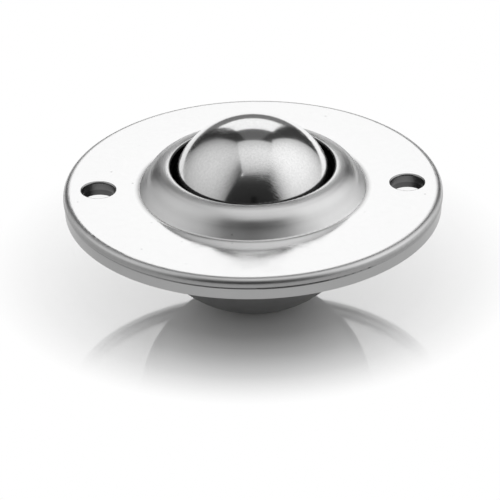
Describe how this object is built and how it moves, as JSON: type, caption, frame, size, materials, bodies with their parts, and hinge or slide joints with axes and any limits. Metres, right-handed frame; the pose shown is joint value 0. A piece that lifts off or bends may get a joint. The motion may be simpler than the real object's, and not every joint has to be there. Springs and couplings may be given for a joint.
{
  "type": "flanged ball transfer unit",
  "caption": "Ball transfer unit: a polished steel ball turns freely in a round bowl under a flat flange with a raised collar and two screw holes.",
  "frame": {"origin": "on the ball's upright axis, in the plane of the flange's top face, where the screws' heads seat; the mounting face (the lower edge of the turned-down rim) is 3.3 mm under it", "axes": "+Z out of the top face towards the load ball; the two screw holes lie on the X axis"},
  "size_m": [0.058, 0.058, 0.0306],
  "materials": {
    "sheet_steel": "satin stainless sheet, lightly scratched",
    "hardened_steel": "ground and hardened",
    "ball_steel": "polished",
    "black_plastic": "moulded, matt"
  },
  "bodies": {
    "unit": {"flange_cover": "sheet_steel", "housing_cup": "sheet_steel", "race_cup": "hardened_steel", "retaining_ring": "black_plastic"},
    "support_balls": {"support_ball_01": "ball_steel", "support_ball_02": "ball_steel", "support_ball_03": "ball_steel", "support_ball_04": "ball_steel", "support_ball_05": "ball_steel", "support_ball_06": "ball_steel", "support_ball_07": "ball_steel", "support_ball_08": "ball_steel", "support_ball_09": "ball_steel", "support_ball_10": "ball_steel", "support_ball_11": "ball_steel", "support_ball_12": "ball_steel", "support_ball_13": "ball_steel", "support_ball_14": "ball_steel", "support_ball_15": "ball_steel", "support_ball_16": "ball_steel", "support_ball_17": "ball_steel", "support_ball_18": "ball_steel", "support_ball_19": "ball_steel", "support_ball_20": "ball_steel", "support_ball_21": "ball_steel", "support_ball_22": "ball_steel", "support_ball_23": "ball_steel", "support_ball_24": "ball_steel", "support_ball_25": "ball_steel", "support_ball_26": "ball_steel", "support_ball_27": "ball_steel", "support_ball_28": "ball_steel", "support_ball_29": "ball_steel", "support_ball_30": "ball_steel", "support_ball_31": "ball_steel", "support_ball_32": "ball_steel", "support_ball_33": "ball_steel", "support_ball_34": "ball_steel", "support_ball_35": "ball_steel", "support_ball_36": "ball_steel", "support_ball_37": "ball_steel", "support_ball_38": "ball_steel", "support_ball_39": "ball_steel", "support_ball_40": "ball_steel", "support_ball_41": "ball_steel", "support_ball_42": "ball_steel", "support_ball_43": "ball_steel", "support_ball_44": "ball_steel", "support_ball_45": "ball_steel", "support_ball_46": "ball_steel", "support_ball_47": "ball_steel", "support_ball_48": "ball_steel", "support_ball_49": "ball_steel", "support_ball_50": "ball_steel", "support_ball_51": "ball_steel", "support_ball_52": "ball_steel", "support_ball_53": "ball_steel", "support_ball_54": "ball_steel", "support_ball_55": "ball_steel"},
    "load_ball": {"load_ball": "ball_steel"}
  },
  "joints": [
    {"name": "heading_spin", "type": "hinge", "parent": "unit", "child": "support_balls", "pos_m": [0, 0, -0.0016], "axis": [0, 0, 1], "continuous": true},
    {"name": "ball_roll", "type": "hinge", "parent": "support_balls", "child": "load_ball", "pos_m": [0, 0, -0.0016], "axis": [1, 0, 0], "continuous": true}
  ]
}
